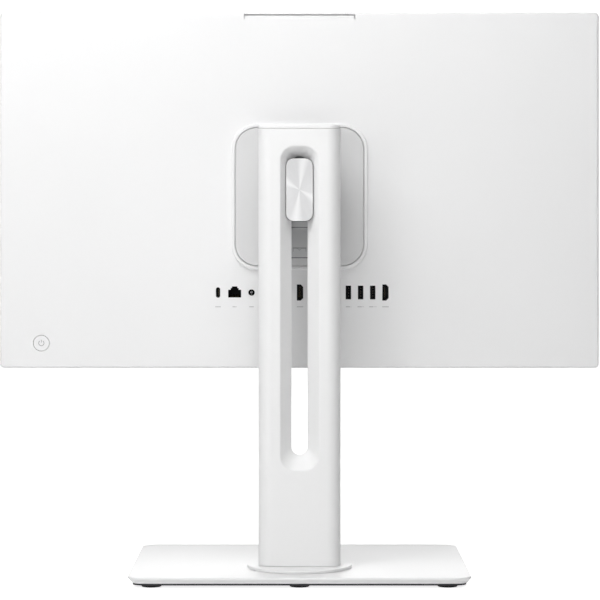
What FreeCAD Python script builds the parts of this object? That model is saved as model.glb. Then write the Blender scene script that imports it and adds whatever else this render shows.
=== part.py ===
import FreeCAD, Part
import math
import os
import Sketcher
from FreeCAD import Placement, Rotation, Vector

# All-in-one desktop computer on a height-adjustable stand, in millimetres.
# Frame: origin on the desk under the middle of the stand's base, +Z up, the
# screen faces -Y and the connectors face +Y.  A head (display, computer and
# rear cover) turns on a pivot, tilts on a shaft, rides on a lift arm inside a
# slotted column, and the column swivels on a weighted base.

doc = FreeCAD.newDocument("AllInOneComputer")
sheet = doc.addObject("Spreadsheet::Sheet", "dims")

DIMS = [
    # head
    ("case_half", 270.0), ("case_low", 180.2), ("case_top", 500.8),
    ("case_front", -55.0), ("case_split", -50.0), ("case_rear", -19.0),
    ("case_round", 4.0), ("case_wall", 2.4),
    ("view_half", 263.5), ("view_low", 196.8), ("view_top", 492.8),
    ("glass_thick", 1.0), ("panel_thick", 6.6), ("lip_thick", 1.2),
    ("frame_front", -44.8), ("frame_thick", 1.2),
    # mounting plate on the back of the head
    ("pivot_up", 334.6), ("plate_half_wide", 57.7), ("plate_half_tall", 62.0),
    ("plate_round", 19.5), ("plate_thick", 3.5), ("plate_gap", 0.85),
    ("boss_half_wide", 61.2), ("boss_half_tall", 65.8), ("boss_rise", 3.0),
    ("mount_pitch", 50.0),
    # pivot and tilt
    ("hub_dia", 56.0), ("stub_dia", 16.0), ("run_clear", 0.06),
    ("tilt_back", 8.0), ("tilt_dia", 10.0), ("arm_round", 10.0),
    # column
    ("col_half", 35.8), ("col_front", 25.0), ("col_split", 41.0),
    ("col_rear", 63.0), ("col_low", 12.6), ("col_high", 392.6),
    ("col_wall", 2.4), ("col_round", 11.0), ("slot_soft", 1.6), ("cap_thick", 3.5),
    ("slot_half", 16.6), ("slot_throat", 50.0), ("slot_low", 95.9), ("slot_high", 377.3),
    ("slot_round", 12.0),
    ("inner_half", 7.0), ("inner_low", 108.4), ("inner_high", 369.0),
    ("button_cap_half", 11.75), ("button_cap_tall", 54.5),
    # swivel and base
    ("disc_back", 44.0), ("disc_dia", 91.2), ("disc_low", 9.9),
    ("disc_thick", 2.4), ("spindle_dia", 18.0),
    ("base_half_x", 146.8), ("base_half_y", 111.0), ("base_round", 14.0),
    ("base_high", 9.6), ("base_skirt", 4.0), ("base_inner", 8.2), ("base_bevel", 3.9),
    ("base_rim", 5.6), ("foot_high", 2.4),
    ("foot_dia", 17.0), ("foot_x", 126.5), ("foot_y", 94.0),
    # connectors and controls
    ("port_up", 248.3), ("port_face", -21.5), ("board_rear", -32.8),
    ("board_thick", 1.6),
    ("power_x", 232.8), ("power_up", 202.7), ("power_dia", 14.1),
    ("cam_half", 48.9), ("cam_slot_half", 49.2),
    ("fan_x", -175.0), ("fan_up", 414.0), ("fan_dia", 68.0),
]


class Q:
    """A length that carries its value and the sheet expression behind it."""

    def __init__(self, v, x):
        self.v, self.x = float(v), x

    def _mix(self, other, op, fn, flip=False):
        o = other if isinstance(other, Q) else Q(other, "%.6g" % other if other >= 0 else "(%.6g)" % other)
        a, b = (o, self) if flip else (self, o)
        return Q(fn(a.v, b.v), "(%s %s %s)" % (a.x, op, b.x))

    def __add__(self, o): return self._mix(o, "+", lambda a, b: a + b)
    def __radd__(self, o): return self._mix(o, "+", lambda a, b: a + b, True)
    def __sub__(self, o): return self._mix(o, "-", lambda a, b: a - b)
    def __rsub__(self, o): return self._mix(o, "-", lambda a, b: a - b, True)
    def __mul__(self, o): return self._mix(o, "*", lambda a, b: a * b)
    def __rmul__(self, o): return self._mix(o, "*", lambda a, b: a * b, True)
    def __truediv__(self, o): return self._mix(o, "/", lambda a, b: a / b)
    def __neg__(self): return Q(-self.v, "(-1 * %s)" % self.x)
    def __float__(self): return self.v


class D:
    pass


d = D()
for row, (alias, value) in enumerate(DIMS, start=1):
    sheet.set("A%d" % row, alias)
    sheet.set("B%d" % row, "%g" % value)
    sheet.setAlias("B%d" % row, alias)
    setattr(d, alias, Q(value, "dims." + alias))
doc.recompute()

SUBPARTS = []
ROLE = {"XY": "XY_Plane", "XZ": "XZ_Plane", "YZ": "YZ_Plane"}
count = {"n": 0}


def f(v):
    return float(v)


def label(kind):
    count["n"] += 1
    return "%s%03d" % (kind, count["n"])


def new_body(name):
    b = doc.addObject("PartDesign::Body", name)
    b.Label = name
    b.AllowCompound = True
    SUBPARTS.append(b)
    return b


def origin_plane(b, plane):
    for feat in b.Origin.OriginFeatures:
        if feat.Role == ROLE[plane]:
            return feat
    raise ValueError(plane)


def rect(x0, y0, x1, y1, r=0):
    return ("rect", x0, y0, x1, y1, r)


def circ(x, y, dia):
    return ("circ", x, y, dia)


def poly(*pts):
    return ("poly", pts)


def bind(s, con, value):
    i = s.addConstraint(con)
    if isinstance(value, Q):
        s.setExpression("Constraints[%d]" % i, value.x)


def fix_x(s, geo, pos, value):
    if not isinstance(value, Q) and abs(value) < 1e-9:
        s.addConstraint(Sketcher.Constraint("PointOnObject", geo, pos, -2))
    else:
        bind(s, Sketcher.Constraint("DistanceX", -1, 1, geo, pos, f(value)), value)


def fix_y(s, geo, pos, value):
    if not isinstance(value, Q) and abs(value) < 1e-9:
        s.addConstraint(Sketcher.Constraint("PointOnObject", geo, pos, -1))
    else:
        bind(s, Sketcher.Constraint("DistanceY", -1, 1, geo, pos, f(value)), value)


def draw(s, shape):
    C = Sketcher.Constraint
    g0 = s.GeometryCount
    if shape[0] == "circ":
        _, x, y, dia = shape
        s.addGeometry(Part.Circle(Vector(f(x), f(y), 0), Vector(0, 0, 1), f(dia) / 2), False)
        fix_x(s, g0, 3, x)
        fix_y(s, g0, 3, y)
        bind(s, C("Diameter", g0, f(dia)), dia)
        return
    if shape[0] == "poly":
        pts = [(f(x), f(y)) for x, y in shape[1]]
        n = len(pts)
        s.addGeometry([Part.LineSegment(Vector(*pts[i], 0), Vector(*pts[(i + 1) % n], 0)) for i in range(n)], False)
        s.addConstraint([C("Coincident", g0 + i, 2, g0 + (i + 1) % n, 1) for i in range(n)])
        for i, (x, y) in enumerate(shape[1]):
            fix_x(s, g0 + i, 1, x)
            fix_y(s, g0 + i, 1, y)
        return
    _, x0, y0, x1, y1, r = shape
    a, b, c, e, q = f(x0), f(y0), f(x1), f(y1), f(r)
    V = lambda x, y: Vector(x, y, 0)
    if q <= 0:
        s.addGeometry([Part.LineSegment(V(a, b), V(c, b)), Part.LineSegment(V(c, b), V(c, e)),
                       Part.LineSegment(V(c, e), V(a, e)), Part.LineSegment(V(a, e), V(a, b))], False)
        s.addConstraint([C("Coincident", g0 + i, 2, g0 + (i + 1) % 4, 1) for i in range(4)])
        s.addConstraint([C("Horizontal", g0), C("Horizontal", g0 + 2), C("Vertical", g0 + 1), C("Vertical", g0 + 3)])
        fix_x(s, g0, 1, x0)
        fix_y(s, g0, 1, y0)
        fix_x(s, g0 + 2, 1, x1)
        fix_y(s, g0 + 2, 1, y1)
        return
    up = Vector(0, 0, 1)
    arc = lambda x, y, t0, t1: Part.ArcOfCircle(Part.Circle(V(x, y), up, q), t0, t1)
    h = math.pi / 2
    s.addGeometry([
        Part.LineSegment(V(a + q, b), V(c - q, b)), arc(c - q, b + q, -h, 0),
        Part.LineSegment(V(c, b + q), V(c, e - q)), arc(c - q, e - q, 0, h),
        Part.LineSegment(V(c - q, e), V(a + q, e)), arc(a + q, e - q, h, 2 * h),
        Part.LineSegment(V(a, e - q), V(a, b + q)), arc(a + q, b + q, 2 * h, 3 * h)], False)
    s.addConstraint([C("Tangent", g0 + i, 2, g0 + (i + 1) % 8, 1) for i in range(8)])
    s.addConstraint([C("Horizontal", g0), C("Vertical", g0 + 2), C("Horizontal", g0 + 4), C("Vertical", g0 + 6),
                     C("Equal", g0 + 1, g0 + 3), C("Equal", g0 + 1, g0 + 5), C("Equal", g0 + 1, g0 + 7)])
    bind(s, C("Radius", g0 + 1, q), r)
    fix_x(s, g0 + 6, 1, x0)
    fix_y(s, g0, 1, y0)
    fix_x(s, g0 + 2, 1, x1)
    fix_y(s, g0 + 4, 1, y1)


def sketch(b, plane, at, *shapes, centre=None):
    s = b.newObject("Sketcher::SketchObject", label("Sketch"))
    s.AttachmentSupport = [(origin_plane(b, plane), "")]
    s.MapMode = "FlatFace"
    off = -at if plane == "XZ" else at
    cx, cy = centre or (0.0, 0.0)
    s.AttachmentOffset = Placement(Vector(f(cx), f(cy), f(off)), Rotation())
    if isinstance(cx, Q):
        s.setExpression("AttachmentOffset.Base.x", cx.x)
        s.setExpression("AttachmentOffset.Base.y", cy.x)
    if isinstance(off, Q):
        s.setExpression("AttachmentOffset.Base.z", off.x)
    for shape in shapes:
        draw(s, shape)
    return s


def set_length(feat, value):
    feat.Length = f(value)
    if isinstance(value, Q):
        feat.setExpression("Length", value.x)


def pad(b, plane, lo, hi, *shapes):
    s = sketch(b, plane, hi if plane == "XZ" else lo, *shapes)
    p = b.newObject("PartDesign::Pad", label("Pad"))
    p.Profile = s
    set_length(p, hi - lo)
    return p


def pocket(b, plane, lo, hi, *shapes):
    s = sketch(b, plane, lo if plane == "XZ" else hi, *shapes)
    p = b.newObject("PartDesign::Pocket", label("Pocket"))
    p.Profile = s
    set_length(p, hi - lo)
    return p


def edges_of(b, pick):
    doc.recompute()
    shape = b.Tip.Shape
    return b.Tip, ["Edge%d" % (i + 1) for i, e in enumerate(shape.Edges) if pick(e.BoundBox, e)]


def dress(b, kind, size, pick):
    base, names = edges_of(b, pick)
    if not names:
        raise RuntimeError("no edges on " + b.Name)
    o = b.newObject("PartDesign::" + kind, label(kind))
    o.Base = (base, names)
    prop = "Radius" if kind == "Fillet" else "Size"
    setattr(o, prop, f(size))
    if isinstance(size, Q):
        o.setExpression(prop, size.x)
    return o


def fillet(b, size, pick):
    return dress(b, "Fillet", size, pick)


def chamfer(b, size, pick):
    return dress(b, "Chamfer", size, pick)


def at_y(y):
    return lambda bb, e: abs(bb.YMin - f(y)) < 1e-4 and abs(bb.YMax - f(y)) < 1e-4


def at_z(z):
    return lambda bb, e: abs(bb.ZMin - f(z)) < 1e-4 and abs(bb.ZMax - f(z)) < 1e-4


def at_x(x):
    return lambda bb, e: abs(bb.XMin - f(x)) < 1e-4 and abs(bb.XMax - f(x)) < 1e-4


def row_of(b, feat, axis_sketch, axis, length, n):
    p = b.newObject("PartDesign::LinearPattern", label("Row"))
    p.Originals = [feat]
    p.Direction = (axis_sketch, [axis])
    p.Length = length
    p.Occurrences = n
    b.Tip = p
    return p


# ---------------------------------------------------------------- display
wall = d.case_wall
x_in = d.case_half - wall
z_in0, z_in1 = d.case_low + wall, d.case_top - wall

b = new_body("front_bezel")
pad(b, "XZ", d.case_front, d.case_split, rect(-d.case_half, d.case_low, d.case_half, d.case_top, d.case_round))
fillet(b, 1.2, at_y(d.case_front))
pocket(b, "XZ", d.case_front + d.lip_thick, d.case_split, rect(-d.view_half - 2.9, d.view_low - 2.8, d.view_half + 2.9, d.view_top + 3.6))
pocket(b, "XZ", d.case_front, d.case_split, rect(-d.view_half, d.view_low, d.view_half, d.view_top))

glass0 = d.case_front + d.lip_thick
glass1 = glass0 + d.glass_thick
b = new_body("display_glass")
pad(b, "XZ", glass0, glass1, rect(-d.view_half - 2.5, d.view_low - 2.4, d.view_half + 2.5, d.view_top + 3.2, 0.5))

b = new_body("lcd_module")
pad(b, "XZ", glass1, glass1 + d.panel_thick, rect(-d.view_half - 2.1, d.view_low - 2.0, d.view_half + 2.1, d.view_top + 2.8, 1.0))
pocket(b, "XZ", glass1 + d.panel_thick - 1.0, glass1 + d.panel_thick, rect(-240, 214, 240, 476, 3.0))

frame1 = d.frame_front + d.frame_thick
b = new_body("mid_frame")
pad(b, "XZ", d.frame_front, frame1, rect(-262, 186, 262, 492, 3.0))
pad(b, "XZ", glass1 + d.panel_thick, d.frame_front, rect(-262, 204, -255, 488), rect(255, 204, 262, 488))
pocket(b, "XZ", d.frame_front, frame1,
       rect(100, 286, 228, 384, 6.0), rect(100, 400, 228, 470, 6.0), rect(-56, 280, 56, 390, 10.0),
       rect(-60, 418, 60, 434, 4.0), rect(110, 216, 200, 270, 6.0))
posts = [(-248, 212), (248, 226), (-248, 470), (248, 470), (-90, 446), (90, 446), (84, 212), (-84, 212)]
pocket(b, "XZ", d.frame_front, frame1, *[circ(x, z, 2.6) for x, z in posts])

# ---------------------------------------------------------------- rear cover
boss_rear = d.case_rear + d.boss_rise
pz = d.pivot_up
b = new_body("rear_cover")
pad(b, "XZ", d.case_split, d.case_rear, rect(-d.case_half, d.case_low, d.case_half, d.case_top, d.case_round))
fillet(b, 2.0, at_y(d.case_rear))
pocket(b, "XZ", d.case_split, d.case_rear - wall, rect(-x_in, z_in0, x_in, z_in1, 1.6))
pad(b, "XZ", d.case_rear, boss_rear, rect(-d.boss_half_wide, pz - d.boss_half_tall, d.boss_half_wide, pz + d.boss_half_tall, 22.5))
pocket(b, "XZ", d.case_rear, boss_rear,
       rect(-d.plate_half_wide - d.plate_gap, pz - d.plate_half_tall - d.plate_gap,
            d.plate_half_wide + d.plate_gap, pz + d.plate_half_tall + d.plate_gap, d.plate_round + d.plate_gap))
fillet(b, 0.8, lambda bb, e: at_y(boss_rear)(bb, e) and (bb.XMax > 60.9 or bb.XMin < -60.9 or bb.ZMax > f(pz) + 64.9 or bb.ZMin < f(pz) - 64.9))
# screw posts behind the rear wall
pad(b, "XZ", frame1, d.case_rear - wall, *[circ(x, z, 8.0) for x, z in posts])
pocket(b, "XZ", frame1, -36.0, *[circ(x, z, 2.6) for x, z in posts])
# holes for the mounting screws
pocket(b, "XZ", d.case_rear - wall, d.case_rear, *[circ(sx * (d.mount_pitch - 2), pz + sz * d.mount_pitch, 4.4) for sx in (-1, 1) for sz in (-1, 1)])
# connector openings, one row
PU = d.port_up
usb_a = (-44.1, -55.1, -66.0)
hdmi = (-0.45, -77.5)


def hdmi_outline(cx, half, tall, cut):
    # a straight side and two chamfered corners, plug drawn standing on end
    return poly((cx - half + cut, PU - tall), (cx + half, PU - tall), (cx + half, PU + tall), (cx - half + cut, PU + tall),
                (cx - half, PU + tall - cut), (cx - half, PU - tall + cut))


def jack_outline(cx, grow):
    return poly((cx - 5.85 - grow, PU - 4.5 - grow), (cx + 5.85 + grow, PU - 4.5 - grow), (cx + 5.85 + grow, PU + 2.5 + grow),
                (cx + 3.6 + grow, PU + 2.5 + grow), (cx + 3.6 + grow, PU + 4.1 + grow), (cx + 2.5 + grow, PU + 4.1 + grow),
                (cx + 2.5 + grow, PU + 5.5 + grow), (cx - 2.5 - grow, PU + 5.5 + grow), (cx - 2.5 - grow, PU + 4.1 + grow),
                (cx - 3.6 - grow, PU + 4.1 + grow), (cx - 3.6 - grow, PU + 2.5 + grow), (cx - 5.85 - grow, PU + 2.5 + grow))


pocket(b, "XZ", d.case_rear - wall, d.case_rear,
       rect(73.5 - 1.95, PU - 4.7, 73.5 + 1.95, PU + 4.7, 1.9),
       jack_outline(58.5, 0.0),
       circ(43.3, PU, 5.8),
       hdmi_outline(hdmi[0], 2.85, 7.3, 2.2), hdmi_outline(hdmi[1], 2.85, 7.3, 2.2),
       *[rect(x - 2.45, PU - 6.2, x + 2.45, PU + 6.2, 0.3) for x in usb_a])
pocket(b, "XZ", d.case_rear - 0.35, d.case_rear, circ(43.3, PU, 9.4), circ(43.3, PU, 8.6))
# power button bore
pocket(b, "XZ", d.case_rear - wall, d.case_rear, circ(d.power_x, d.power_up, d.power_dia + 0.8))
# pop-up camera: a thick lip behind the top edge, a slot for the bar and a finger scoop
pad(b, "XZ", -27.0, d.case_rear - wall, rect(-51.4, 487.0, 51.4, z_in1))
pocket(b, "XZ", -43.4, -23.4, rect(-d.cam_slot_half, 499.0, d.cam_slot_half, d.case_top + 1))
pocket(b, "XZ", -43.4, -27.0, rect(-d.cam_slot_half, 497.0, d.cam_slot_half, d.case_top + 1))
pocket(b, "YZ", -d.cam_slot_half, d.cam_slot_half, poly((d.case_rear + 1, 494.4), (-19.25, 495.0), (-19.35, 498.1), (-23.4, 498.4), (-23.4, d.case_top + 1), (d.case_rear + 1, d.case_top + 1)))
for sgn in (1, -1):
    # short relief slots at both ends of the scoop
    pocket(b, "XZ", -22.8, d.case_rear, rect(sgn * 49.1, 494.8, sgn * 50.1, 499.3) if sgn > 0 else rect(-50.1, 494.8, -49.1, 499.3))
# exhaust slots over the fins, intake slots below, speaker slots at both sides
v = pocket(b, "XY", z_in1, d.case_top, rect(-216, -44, -213.6, -27, 1.1))
row_of(b, v, v.Profile[0], "H_Axis", 108.0, 25)
v = pocket(b, "XY", d.case_low, z_in0, rect(-62.0, -44, -59.6, -27, 1.1))
row_of(b, v, v.Profile[0], "H_Axis", 119.6, 24)
v = pocket(b, "XY", d.case_low, z_in0, rect(108, -40, 110, -28, 0.9))
row_of(b, v, v.Profile[0], "H_Axis", 84.0, 22)
v = pocket(b, "XY", d.case_low, z_in0, rect(-194, -40, -192, -28, 0.9))
row_of(b, v, v.Profile[0], "H_Axis", 84.0, 22)

# ---------------------------------------------------------------- steel behind the mounting plate
plate_front = d.case_rear
plate_rear = plate_front + d.plate_thick
inner = d.case_rear - wall
b = new_body("mount_bracket")
pad(b, "XZ", frame1, frame1 + 1.5, rect(-82, 266, 82, 412, 6.0))
pad(b, "XZ", frame1, inner, rect(-66, 268, 66, 401.2, 6.0))
pocket(b, "XZ", frame1, inner - 1.5, rect(-64.5, 269.5, 64.5, 399.7, 4.5))
pocket(b, "XZ", inner - 1.5, inner, circ(0, pz, 40.0), *[circ(sx * (d.mount_pitch - 2), pz + sz * d.mount_pitch, 4.4) for sx in (-1, 1) for sz in (-1, 1)])

b = new_body("mount_screws")
mp = [(sx * (d.mount_pitch - 2), pz + sz * d.mount_pitch) for sx in (-1, 1) for sz in (-1, 1)]
pad(b, "XZ", inner - 4.0, inner - 1.5, *[circ(x, z, 8.0) for x, z in mp])
pad(b, "XZ", inner - 1.5, plate_front + 2.4, *[circ(x, z, 4.0) for x, z in mp])
pocket(b, "XZ", inner - 4.0, inner - 2.7, *[rect(x - 1.4, z - 1.4, x + 1.4, z + 1.4) for x, z in mp])
hp = [(24 * math.cos(math.radians(a)), 24 * math.sin(math.radians(a))) for a in (45, 135, 225, 315)]
pad(b, "XZ", plate_rear + 1.0, plate_rear + 2.9, *[circ(x, pz + z, 5.8) for x, z in hp])
pad(b, "XZ", plate_rear - 1.9, plate_rear + 1.0, *[circ(x, pz + z, 3.0) for x, z in hp])
pocket(b, "XZ", plate_rear + 1.7, plate_rear + 2.9, *[rect(x - 1.2, pz + z - 1.2, x + 1.2, pz + z + 1.2) for x, z in hp])

b = new_body("pivot_plate")
pad(b, "XZ", plate_front, plate_rear, rect(-d.plate_half_wide, pz - d.plate_half_tall, d.plate_half_wide, pz + d.plate_half_tall, d.plate_round))
fillet(b, 0.6, at_y(plate_rear))
pocket(b, "XZ", plate_front, plate_front + 2.5, *[circ(x, z, 4.0) for x, z in mp])
pocket(b, "XZ", plate_front, plate_rear, rect(-4.3, 280.7, 4.3, 288.6, 0.8))
pocket(b, "XZ", plate_rear - 2.0, plate_rear, *[circ(24 * math.cos(math.radians(a)), pz + 24 * math.sin(math.radians(a)), 3.0) for a in (45, 135, 225, 315)])

# ---------------------------------------------------------------- pivot
b = new_body("pivot_hub")
pad(b, "XZ", plate_rear, plate_rear + 3.0, circ(0, pz, d.hub_dia))
pad(b, "XZ", plate_rear + 3.0, -3.0, circ(0, pz, d.stub_dia))
chamfer(b, 0.8, lambda bb, e: at_y(-3.0)(bb, e))
pocket(b, "XZ", plate_rear + 1.0, plate_rear + 3.0, *[circ(24 * math.cos(math.radians(a)), pz + 24 * math.sin(math.radians(a)), 6.0) for a in (45, 135, 225, 315)])
pocket(b, "XZ", plate_rear, plate_rear + 3.0, *[circ(24 * math.cos(math.radians(a)), pz + 24 * math.sin(math.radians(a)), 3.0) for a in (45, 135, 225, 315)])

tb0, tb1 = -11.7, -8.7
b = new_body("pivot_washers")
pad(b, "XZ", -12.5, tb0, circ(0, pz, 38.0), circ(0, pz, d.stub_dia))
pad(b, "XZ", tb1, -7.7, circ(0, pz, 28.0), circ(0, pz, d.stub_dia))


def hexagon(cx, cy, flats):
    R = flats / math.sqrt(3)
    return poly(*[(cx + R * math.cos(math.radians(60 * i)), cy + R * math.sin(math.radians(60 * i))) for i in range(6)])


b = new_body("pivot_nut")
pad(b, "XZ", -7.7, -3.4, hexagon(0, pz, 23.0), circ(0, pz, d.stub_dia))
chamfer(b, 0.5, lambda bb, e: at_y(-3.4)(bb, e) and len(e.Vertexes) == 2)

# ---------------------------------------------------------------- tilt
ty = d.tilt_back
b = new_body("tilt_bracket")
pad(b, "XZ", tb0, tb1, rect(-25, pz - 25, 25, pz + 25, 6.0))
pad(b, "YZ", 11.0, 15.0, rect(tb1 - 0.5, pz - d.arm_round, ty + d.arm_round, pz + d.arm_round, 9.9))
pad(b, "YZ", 11.0, 15.0, rect(tb1 - 0.5, pz - 20, tb1 + 9, pz + 20, 3.0))
pad(b, "YZ", -15.0, -11.0, rect(tb1 - 0.5, pz - d.arm_round, ty + d.arm_round, pz + d.arm_round, 9.9))
pad(b, "YZ", -15.0, -11.0, rect(tb1 - 0.5, pz - 20, tb1 + 9, pz + 20, 3.0))
pocket(b, "XZ", tb0, tb1, circ(0, pz, d.stub_dia + 2 * d.run_clear))
pocket(b, "XZ", tb1, 0.2, circ(0, pz, 30.0))
pocket(b, "YZ", -16.0, 16.0, circ(ty, pz, d.tilt_dia))

b = new_body("tilt_shaft")
pad(b, "YZ", -20.6, 15.8, circ(ty, pz, d.tilt_dia))
pad(b, "YZ", 15.8, 19.6, circ(ty, pz, 15.0))
chamfer(b, 0.8, lambda bb, e: at_x(19.6)(bb, e))

b = new_body("tilt_washers")
for lo, hi in ((10.0, 11.0), (-11.0, -10.0), (15.0, 15.8), (-15.8, -15.0)):
    pad(b, "YZ", lo, hi, circ(ty, pz, 17.0), circ(ty, pz, d.tilt_dia))

b = new_body("tilt_nut")
pad(b, "YZ", -20.2, -15.8, hexagon(ty, pz, 15.0), circ(ty, pz, d.tilt_dia))

b = new_body("hinge_shroud")
pad(b, "XZ", -11.7, 9.0, rect(-27, 289, 27, 364, 5.0))
pocket(b, "XZ", -11.7, 7.4, rect(-25.2, 290.8, 25.2, 362.2, 3.2))
pocket(b, "XZ", 7.4, 9.0, rect(-22.5, 312, 22.5, 358, 3.0))
fillet(b, 0.6, lambda bb, e: at_y(9.0)(bb, e) and (bb.XMax > 26.9 or bb.XMin < -26.9 or bb.ZMax > 363.9 or bb.ZMin < 289.1))

b = new_body("release_latch")
pad(b, "XZ", -15.5, -13.2, rect(-12, 280.0, 12, 289.0, 1.5))
pad(b, "XZ", -13.2, -12.5, rect(-10, 280.8, 10, 282.6, 0.5))
pad(b, "XZ", -18.9, -15.5, rect(-4, 281, 4, 285))
pocket(b, "XZ", -14.0, -13.2, poly((-1.6, 286.0), (1.6, 286.0), (0, 288.0)))

# ---------------------------------------------------------------- lift arm
b = new_body("lift_arm")
pad(b, "XZ", 31.0, 37.0, rect(-22, 305, 22, 372, 3.0))
pad(b, "YZ", -10.0, 10.0, rect(ty - d.arm_round, pz - d.arm_round, 33.0, pz + d.arm_round, 0))
fillet(b, d.arm_round - 0.05, lambda bb, e: at_y(ty - d.arm_round)(bb, e) and bb.XLength > 15 and bb.ZLength < 1e-6)
pad(b, "YZ", -10.0, 10.0, poly((26.0, pz - 10), (31.5, pz - 24), (31.5, pz - 10)))
pad(b, "XZ", 37.0, 57.0, rect(-5.5, 320, 5.5, 360, 3.0))
pad(b, "XZ", 37.0, 40.0, rect(-18, 366, -6, 372), rect(6, 366, 18, 372))
pocket(b, "YZ", -11.0, 11.0, circ(ty, pz, d.tilt_dia + 2 * d.run_clear))
pocket(b, "XZ", 31.0, 37.0, rect(-18, 308, -12.5, 362, 2.0), rect(12.5, 308, 18, 362, 2.0))

b = new_body("slider_pads")
pads = []
for x0, x1 in ((22.0, 25.2), (-25.2, -22.0)):
    for z0 in (308.0, 350.0):
        pads.append(rect(x0, z0, x1, z0 + 19))
pad(b, "XZ", 31.5, 36.5, *pads)

mid = (d.inner_low + d.inner_high) / 2
b = new_body("arm_cap")
pad(b, "XZ", 57.0, 59.6, rect(-d.button_cap_half, 339.5 - d.button_cap_tall / 2, d.button_cap_half, 339.5 + d.button_cap_tall / 2, 7.0))
fillet(b, 0.5, at_y(59.6))

# ---------------------------------------------------------------- column
cw = d.col_wall
ci = d.col_half - cw
b = new_body("column_rear_shell")
pad(b, "XY", d.col_low, d.col_high, rect(-d.col_half, 12, d.col_half, d.col_rear, d.col_round))
pocket(b, "XY", d.col_low, d.col_high, rect(-60, 5, 60, d.col_split))
pocket(b, "XY", d.col_low, d.col_high, rect(-ci, 40, ci, 43.7))
for sgn in (1, -1):
    pocket(b, "XY", d.col_low, d.col_high - cw,
           poly((sgn * 10.6, 43.7), (sgn * ci, 43.7), (sgn * ci, 52.2), (sgn * 31.6, 56.2), (sgn * 28.6, 59.2), (sgn * 25.0, 60.6), (sgn * 22.0, 60.6)))
pocket(b, "XY", d.col_low, 21.0, rect(-31.0, 43.7, 31.0, 58.5))
# a straight throat, then a shallow funnel out to the column's face
pocket(b, "XZ", 43.7, d.slot_throat, rect(-d.inner_half, d.inner_low, d.inner_half, d.inner_high, d.inner_half - 0.3))
outer_s = sketch(b, "XZ", d.col_rear, rect(-d.slot_half, d.slot_low, d.slot_half, d.slot_high, d.slot_round))
inner_s = sketch(b, "XZ", d.slot_throat, rect(-d.inner_half, d.inner_low, d.inner_half, d.inner_high, d.inner_half - 0.3))
lf = b.newObject("PartDesign::SubtractiveLoft", "FunnelSlot")
lf.Profile = outer_s
lf.Sections = [inner_s]
lf.Ruled = True
# the slot's rim is softly rounded where it meets the column's face, and less so at its throat
fillet(b, d.slot_soft, lambda bb, e: at_y(d.col_rear)(bb, e) and bb.XMax < 17.0 and bb.XMin > -17.0)
fillet(b, 0.8, lambda bb, e: at_y(43.7)(bb, e) and bb.XMax < 7.2 and bb.XMin > -7.2)

b = new_body("column_front_shell")
pad(b, "XY", d.col_low, d.col_high, rect(-d.col_half, d.col_front, d.col_half, 70, 5.0))
pocket(b, "XY", d.col_low, d.col_high, rect(-60, d.col_split, 60, 80))
pocket(b, "XY", d.col_low, d.col_high, rect(-ci, d.col_front + cw, ci, 50, 2.6))
pocket(b, "XZ", d.col_front, d.col_front + cw, rect(-17, 90, 17, 382, 16.0))

b = new_body("column_cap")
cap0 = d.col_high + 0.3
pad(b, "XY", cap0, cap0 + d.cap_thick, rect(-d.col_half, d.col_front, d.col_half, 50, 5.0))
pad(b, "XY", cap0, cap0 + d.cap_thick, rect(-d.col_half, 30, d.col_half, d.col_rear, d.col_round))
fillet(b, 1.6, at_z(cap0 + d.cap_thick))
pad(b, "XY", cap0 - 1.2, cap0, rect(-30, 28.5, 30, 40.2, 1.0))

b = new_body("column_spine")
pad(b, "XZ", 41.1, 43.5, rect(-33.2, 16.3, 33.2, 391.0))
pocket(b, "XZ", 41.1, 43.5, rect(-7.5, 100, 7.5, 374, 7.4))
pad(b, "XZ", 29.0, 41.1, rect(-32.8, 384.0, -30.4, 391.0), rect(30.4, 384.0, 32.8, 391.0))

b = new_body("guide_rails")
pad(b, "XZ", 28.8, 41.1, rect(24.0, 16.3, 32.8, 374.0), rect(-32.8, 16.3, -24.0, 374.0))
pocket(b, "XZ", 31.2, 36.8, rect(23.0, 20.0, 25.6, 374.0), rect(-25.6, 20.0, -23.0, 374.0))

b = new_body("spring_bracket")
pad(b, "YZ", 21.0, 22.5, rect(29.0, 375.0, 41.1, 391.0))
pad(b, "YZ", -22.5, -21.0, rect(29.0, 375.0, 41.1, 391.0))
pad(b, "YZ", -21.0, 21.0, circ(34.0, 383.5, 4.0))

b = new_body("spring_coils")
pad(b, "YZ", 6.0, 18.0, circ(34.0, 383.5, 12.0), circ(34.0, 383.5, 4.2))
pad(b, "YZ", -18.0, -6.0, circ(34.0, 383.5, 12.0), circ(34.0, 383.5, 4.2))

b = new_body("spring_strips")
pad(b, "XZ", 40.05, 40.3, rect(6, 366.5, 18, 383.5), rect(-18, 366.5, -6, 383.5))

b = new_body("column_foot")
fs = [(15.0, 33.0), (-15.0, 33.0), (15.0, 54.0), (-15.0, 54.0)]
pad(b, "XY", d.disc_low + d.disc_thick, 16.3, rect(-31, 28.2, 31, 58.0, 2.0))
pocket(b, "XY", d.disc_low + d.disc_thick, 16.3, *[circ(x, y, 5.0) for x, y in fs])

b = new_body("foot_screws")
pad(b, "XY", 16.3, 19.3, *[circ(x, y, 8.5) for x, y in fs])
pad(b, "XY", 10.1, 16.3, *[circ(x, y, 5.0) for x, y in fs])
pocket(b, "XY", 17.5, 19.3, *[rect(x - 1.6, y - 1.6, x + 1.6, y + 1.6) for x, y in fs])

b = new_body("swivel_disc")
dz0, dz1 = d.disc_low, d.disc_low + d.disc_thick
pad(b, "XY", dz0, dz1, circ(0, d.disc_back, d.disc_dia))
chamfer(b, 0.6, at_z(dz1))
pad(b, "XY", d.base_skirt, dz0, circ(0, d.disc_back, d.spindle_dia))
pocket(b, "XY", d.base_skirt, 10.8, circ(0, d.disc_back, 6.0))
pocket(b, "XY", dz0, dz1, *[circ(x, y, 5.0) for x, y in fs])

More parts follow.
